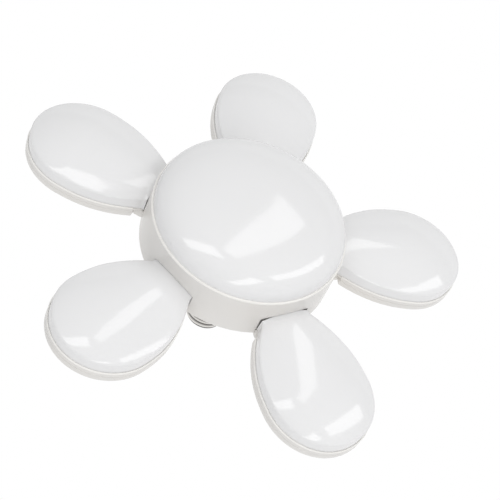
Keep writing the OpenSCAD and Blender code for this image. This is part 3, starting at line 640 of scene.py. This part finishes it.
class GARAGELIGHT_OT_stage(bpy.types.Operator):
    """Sets the camera, the soft studio light, the pale floor and the white surround"""

    bl_idname = "garagelight.stage"
    bl_label = "Stage"

    def execute(self, context):
        scene = context.scene
        scene.view_settings.view_transform = "Standard"
        self.camera(scene)
        self.world(scene)
        self.lamps(scene)
        self.floor(scene)
        return {"FINISHED"}

    def camera(self, scene):
        """Looks up at the hub's rim from azimuth and elevation, turned about its own axis by the roll."""
        azimuth, elevation, roll = (math.radians(v) for v in VIEW_ANGLES)
        back = Vector((math.cos(elevation) * math.cos(azimuth), math.cos(elevation) * math.sin(azimuth),
                       math.sin(elevation)))
        level = Vector((0, 0, 1)).cross(back).normalized()
        rise = back.cross(level)
        right = level * math.cos(roll) - rise * math.sin(roll)
        up = back.cross(right)
        data = bpy.data.cameras.new("camera")
        data.sensor_width, data.lens = 36, VIEW_LENS
        data.clip_end = 20
        camera = bpy.data.objects.new("camera", data)
        scene.collection.objects.link(camera)
        where = Vector(VIEW_TARGET) + back * VIEW_DISTANCE + right * VIEW_SHIFT[0] + up * VIEW_SHIFT[1]
        camera.matrix_world = Matrix.Translation(where) @ Matrix((right, up, back)).transposed().to_4x4()
        scene.camera = camera

    def world(self, scene):
        """White where it is seen, mirrored or seen through; elsewhere a soft light whose strength grows
        from a middle level along x, y and z."""
        world = scene.world or bpy.data.worlds.new("surround")
        scene.world = world
        f = Finish(world)
        camera, glossy, transmission = f.outputs(f.node("LightPath"), "Is Camera Ray", "Is Glossy Ray",
                                                 "Is Transmission Ray")
        seen = (camera + glossy + transmission).clamp()
        direction = f.node("TexCoord", output="Generated")
        x, y, z = f.outputs(f.node("SeparateXYZ", Vector=direction), "X", "Y", "Z")
        level, along_x, along_y, along_z = SOFT_LIGHT
        soft = (level + x * along_x + y * along_y + z * along_z).clamp(0.03, 2.0)
        strength = seen + (1 - seen) * soft
        f.node("OutputWorld", Surface=f.node("Background", Color=(1, 1, 1, 1), Strength=strength))

    def lamps(self, scene):
        """Soft boxes, each held by the middles of its short sides and turned about the line between them
        to face the lamp's middle."""
        for name, first, last, width, power in SOFT_BOXES:
            first, last = Vector(first), Vector(last)
            data = bpy.data.lights.new(name, "AREA")
            data.shape, data.size, data.size_y, data.energy = "RECTANGLE", (last - first).length, width, power
            lamp = bpy.data.objects.new(name, data)
            scene.collection.objects.link(lamp)
            middle, along = (first + last) / 2, (last - first).normalized()
            side = (middle - Vector(LAMP_MIDDLE)).cross(along).normalized()
            lamp.matrix_world = (Matrix.Translation(middle)
                                 @ Matrix((along, side, along.cross(side))).transposed().to_4x4())

    def floor(self, scene):
        """A pale floor, far below the hanging lamp and below the camera."""
        corners = [[[x, y, FLOOR_HEIGHT] for x in (-FLOOR_HALF, FLOOR_HALF)] for y in (-FLOOR_HALF, FLOOR_HALF)]
        mesh = skin("floor", np.array(corners, float))
        f = Finish(bpy.data.materials.new("floor"))
        tone = f.mix(f.noise(3, 2), (0.86, 0.86, 0.86), (0.9, 0.9, 0.9))
        f.node("OutputMaterial", Surface=f.node("BsdfPrincipled", Base_Color=tone, Roughness=0.8))
        mesh.materials.append(f.owner)
        floor = bpy.data.objects.new("floor", mesh)
        scene.collection.objects.link(floor)


# The view: azimuth, elevation and roll in degrees, then the lens in millimetres and the place in metres
VIEW_ANGLES = (263.27, -48.706, 153.297)
VIEW_LENS = 129.31
VIEW_TARGET, VIEW_DISTANCE, VIEW_SHIFT = (0, 0, -0.081), 1.10272, (0.00006, -0.01804)
FLOOR_HEIGHT, FLOOR_HALF = -2.6, 6
# The world's soft light: its middle level, and what it gains along x, y and z
SOFT_LIGHT = (0.51, -0.167, -0.327, 0.453)
LAMP_MIDDLE = (0, 0, -0.075)
# Each soft box: the middles of its two short sides, its width, all in metres, and its power in watts
SOFT_BOXES = (
    ("key", (-0.058, 0.852, -0.918), (0.07, 0.215, -1.982), 0.24, 1.7),
    ("second", (0.923, -0.722, -1.303), (0.189, 0.004, -1.761), 0.3, 2.7),
    ("low_left", (-0.704, -0.396, -1.626), (-0.49, -1.516, -0.796), 0.3, 3.6),
    ("low_right", (-1.019, 0.979, -1.036), (-0.809, -0.071, -1.578), 0.3, 2.7),
)


class GARAGELIGHT_OT_hub(bpy.types.Operator):
    """Makes the hub's dome and dresses its housing"""

    bl_idname = "garagelight.hub"
    bl_label = "Hub"

    PROUD, OVERLAP, BEAD_BASE, BEAD_HEIGHT, BEAD_FOOT = 0.04, 0.4, 0.35, 0.9, 0.7
    SKIRT, SKIRT_HEIGHT, GROOVE, GROOVE_HEIGHT = 2.55, 5, 0.25, 1.5

    def execute(self, context):
        f = finishes(context)
        hub = settings(context, "hub")
        piece("hub_dome", [self.dome(hub)], f["opal_diffuser"], "hub", ["hub_diffuser"])
        cad_copy("hub_housing", f["white_housing"], "hub", hub.edge)
        # The hub's lip takes a colour lighter than its housing: a painted highlight.
        piece("hub_lip", [self.lip(hub)], f["painted_highlight_lip"], "hub", ["hub_housing"])
        return {"FINISHED"}

    def lip(self, hub):
        """Bead on the housing's lip, turned about the axis: half an ellipse over a short foot. It takes the lips'
        lighter colour, a painted highlight.
        """
        last, wide = hub.diameter / 2 + self.PROUD, hub.lip + self.OVERLAP
        b = np.linspace(0, np.pi, 12)
        height = hub.rim + self.BEAD_BASE - self.BEAD_HEIGHT * np.sin(b)
        bead = np.stack([last - wide / 2 * (1 - np.cos(b)), height], -1)
        foot = np.array([[last - wide, hub.rim + self.BEAD_FOOT], [last, hub.rim + self.BEAD_FOOT]])
        mesh = skin("hub_lip", turned(np.concatenate([bead, foot, bead[:1]]), 192) * MM, around=True)
        heal(mesh)
        return mesh

    def dome(self, hub):
        """Shell turned about the axis: outside a superellipse with its foot tucked into the lip, then a
        skirt inside the housing's wall, and the same curve again, a wall thinner."""
        rim, r = hub.rim, hub.diameter / 2 - hub.lip
        a = np.linspace(np.pi / 2, 0, 600)

        def curve(radius, height):
            power = 2 / hub.power
            return np.stack([radius * np.cos(a) ** power, rim - height * np.sin(a) ** power], -1)

        outside = even(curve(r, hub.dome), 90)
        skirt, groove = hub.diameter / 2 - self.SKIRT, r - self.GROOVE
        foot = np.array([[r, rim + 0.15], [groove, rim + 0.45], [groove, rim + self.GROOVE_HEIGHT],
                         [skirt, rim + self.GROOVE_HEIGHT], [skirt, rim + self.SKIRT_HEIGHT],
                         [skirt - hub.wall, rim + self.SKIRT_HEIGHT]])
        inside = even(curve(skirt - hub.wall, hub.dome - hub.wall), 60)[::-1]
        mesh = skin("hub_dome", turned(np.concatenate([outside, foot, inside]), 192) * MM, around=True)
        heal(mesh)
        return mesh


class GARAGELIGHT_OT_petals(bpy.types.Operator):
    """Makes the petals' domes, lips, trays, ribs and ears"""

    bl_idname = "garagelight.petals"
    bl_label = "Petals"

    def execute(self, context):
        f = finishes(context)
        p, h = settings(context, "petal"), settings(context, "hinge")
        shape = Petal(p)
        dome = skin("petal_dome", shape.shell(settings(context, "hub").wall), around=True)
        heal(dome)
        tray, bead = skin("petal_tray", shape.tray(), around=True), skin("petal_lip", shape.bead(), around=True)
        trims = [tray] + shape.ribs() + shape.ears(h)
        for mesh in trims + [bead]:
            heal(mesh)
        for i in PETALS:
            body, at = "petal_%d" % i, shape.place(i, h)
            piece("petal_dome_%d" % i, [dome], f["opal_diffuser"], body, ["petal_diffuser_%d" % i],
                  at, angle=50)
            piece("petal_tray_%d" % i, trims, f["white_housing"], body, ["petal_housing_%d" % i],
                  at)
            # Each petal's lip takes a colour lighter than its tray: a painted highlight.
            piece("petal_lip_%d" % i, [bead], f["painted_highlight_lip"], body, ["petal_housing_%d" % i],
                  at)
        return {"FINISHED"}


class GARAGELIGHT_OT_hinges(bpy.types.Operator):
    """Dresses the hinge brackets, pins and every screw"""

    bl_idname = "garagelight.hinges"
    bl_label = "Hinges and screws"

    def execute(self, context):
        f = finishes(context)
        for i in PETALS:
            cad_copy("hinge_bracket_%d" % i, f["steel"], "hub", 0.25)
            cad_copy("hinge_pin_%d" % i, f["steel"], "petal_%d" % i, 0.15)
        for node in ("neck_screws", "bracket_screws"):
            cad_copy(node, f["steel"], "hub", 0.12)
        return {"FINISHED"}


class GARAGELIGHT_OT_neck(bpy.types.Operator):
    """Dresses the vented neck"""

    bl_idname = "garagelight.neck"
    bl_label = "Neck"

    def execute(self, context):
        cad_copy("neck_cover", finishes(context)["white_housing"], "hub", 0.3)
        return {"FINISHED"}


class GARAGELIGHT_OT_cap(bpy.types.Operator):
    """Makes the threaded shell, its black insulator and the centre contact"""

    bl_idname = "garagelight.cap"
    bl_label = "Screw cap"

    COLLAR, CONTACT_HEIGHT = 4.4, 2.6
    PUNCHES, PUNCH_AT, PUNCH_HALF, PUNCH_DEPTH = 12, 1.1, 0.45, 0.35

    def execute(self, context):
        f = finishes(context)
        c = settings(context, "cap")
        for name, mesh, node, slot in (
                ("cap_shell", self.shell(c), "screw_shell", "nickel_shell"),
                ("cap_glass", self.glass(c), "cap_insulator", "black_glass"),
                ("cap_contact", self.contact(c), "centre_contact", "tinned_contact")):
            heal(mesh)
            piece(name, [mesh], f[slot], "hub", [node])
        return {"FINISHED"}

    def shell(self, c):
        """Drawn sheet: the radius swings by the thread's depth with the cosine of height over pitch less
        azimuth, fades at both ends, and has a ring of punch marks at its foot. Then its inturned end, and
        the same again inside, a sheet thinner."""
        a = np.linspace(0, 2 * np.pi, 144, endpoint=False)[None, :]
        z = np.linspace(0, c.shell, 200)[:, None]
        fade = ease((z - 0.6) / 1.4) * ease((c.shell - z) / 0.9)
        root = c.diameter / 2 - c.depth
        r = root + c.depth * fade * (0.5 + 0.5 * np.cos(2 * np.pi * z / c.pitch - a))
        ring = np.exp(-(((z - self.PUNCH_AT) / self.PUNCH_HALF) ** 2))
        r = r - self.PUNCH_DEPTH * (ring * np.clip(np.cos(self.PUNCHES * a), 0, 1) ** 8)
        end = c.contact / 2 + self.COLLAR
        b = np.linspace(0, np.pi / 2, 10)[1:, None]
        outer_r = np.concatenate([r, end + (root - end) * np.cos(b) + 0 * a])
        outer_z = np.concatenate([z + 0 * a, c.shell + 1.6 * np.sin(b) + 0 * a])
        last = np.array([[end - 0.6], [end - 0.6]])
        outer_r = np.concatenate([outer_r, last + 0 * a])
        outer_z = np.concatenate([outer_z, np.array([[c.shell + 1.55], [c.shell + 1.1]]) + 0 * a])
        inner_r = np.concatenate([end + (root - c.sheet - end) * np.cos(b[::-1]) + 0 * a, r[::-1] - c.sheet])
        inner_z = np.concatenate([c.shell + 1.2 * np.sin(b[::-1]) + 0 * a, z[::-1] + 0 * a])
        r = np.concatenate([outer_r, inner_r, outer_r[:1]])
        z = np.concatenate([outer_z, inner_z, outer_z[:1]])
        return skin("shell", np.stack([r * np.cos(a), r * np.sin(a), z], -1) * MM, around=True)

    def glass(self, c):
        """Black glass turned about the axis, sloping from the shell's end up to the contact's seat."""
        seat, top = c.contact / 2 + self.COLLAR - 0.65, c.height - self.CONTACT_HEIGHT
        rise = corner((seat - 0.6, c.shell + 1.6), 0.6, 0, 60)
        body = c.diameter / 2 - c.depth - 0.95
        profile = np.concatenate([
            [[0, c.shell - 3], [body, c.shell - 3], [body, c.shell - 0.9], [seat, c.shell - 0.9]],
            rise, corner((c.contact / 2 + 0.2, top - 0.6), 0.6, 60, 90), [[0, top]]])
        return skin("glass", turned(profile, 96) * MM, around=True)

    def contact(self, c):
        """Tinned cup turned about the axis: a rolled edge, a shallow crown and a solder drop on it."""
        r, low = c.contact / 2, c.height - self.CONTACT_HEIGHT
        x = np.linspace(1, 0, 40)
        drop = 0.5 * np.exp(-((x * r / 1.7) ** 2))
        crown = low + 1.5 + 0.6 * (1 - x**2) + drop
        crown = crown * (c.height / crown[-1])
        profile = np.concatenate([[[0, low], [r - 0.3, low]], corner((r - 0.3, low + 0.3), 0.3, -60, 0),
                                  corner((r - 0.8, low + 0.9), 0.8, 0, 70),
                                  np.stack([x * (r - 0.75), np.maximum(crown, low + 1.6)], -1)[1:]])
        return skin("contact", turned(profile, 96) * MM, around=True)


class GARAGELIGHT_OT_electrics(bpy.types.Operator):
    """Gives the boards, LEDs, driver parts and wires their finishes"""

    bl_idname = "garagelight.electrics"
    bl_label = "Electrics"

    def execute(self, context):
        f = finishes(context)
        slots = {s["node"]: s["material_slot"] for s in frame["record"]["subparts"]}
        for name, node in frame["nodes"].items():
            node.data.materials.clear()
            node.data.materials.append(f[slots[name]])
        return {"FINISHED"}


class GARAGELIGHT_PT_panel(bpy.types.Panel):
    """Lists the steps and the sizes they read"""

    bl_idname = "GARAGELIGHT_PT_panel"
    bl_label = "Garage light"
    bl_space_type = "VIEW_3D"
    bl_region_type = "UI"
    bl_category = "Garage light"

    def draw(self, context):
        for operator in OPERATORS:
            self.layout.operator(operator.bl_idname)
        for group in GROUPS:
            box = self.layout.box()
            held = settings(context, group.__name__.split("_")[-1])
            for name in group.__annotations__:
                box.prop(held, name)


OPERATORS = (GARAGELIGHT_OT_stage, GARAGELIGHT_OT_electrics, GARAGELIGHT_OT_hub, GARAGELIGHT_OT_petals,
             GARAGELIGHT_OT_hinges, GARAGELIGHT_OT_neck, GARAGELIGHT_OT_cap)
CLASSES = GROUPS + OPERATORS + (GARAGELIGHT_PT_panel,)


def register():
    for cls in CLASSES:
        bpy.utils.register_class(cls)
    for group in GROUPS:
        setattr(bpy.types.Scene, "garagelight_" + group.__name__.split("_")[-1], PointerProperty(type=group))


def unregister():
    for group in GROUPS:
        delattr(bpy.types.Scene, "garagelight_" + group.__name__.split("_")[-1])
    for cls in reversed(CLASSES):
        bpy.utils.unregister_class(cls)


def main():
    register()
    for operator in OPERATORS:
        group, name = operator.bl_idname.split(".")
        getattr(getattr(bpy.ops, group), name)()


if __name__ == "__main__":
    main()
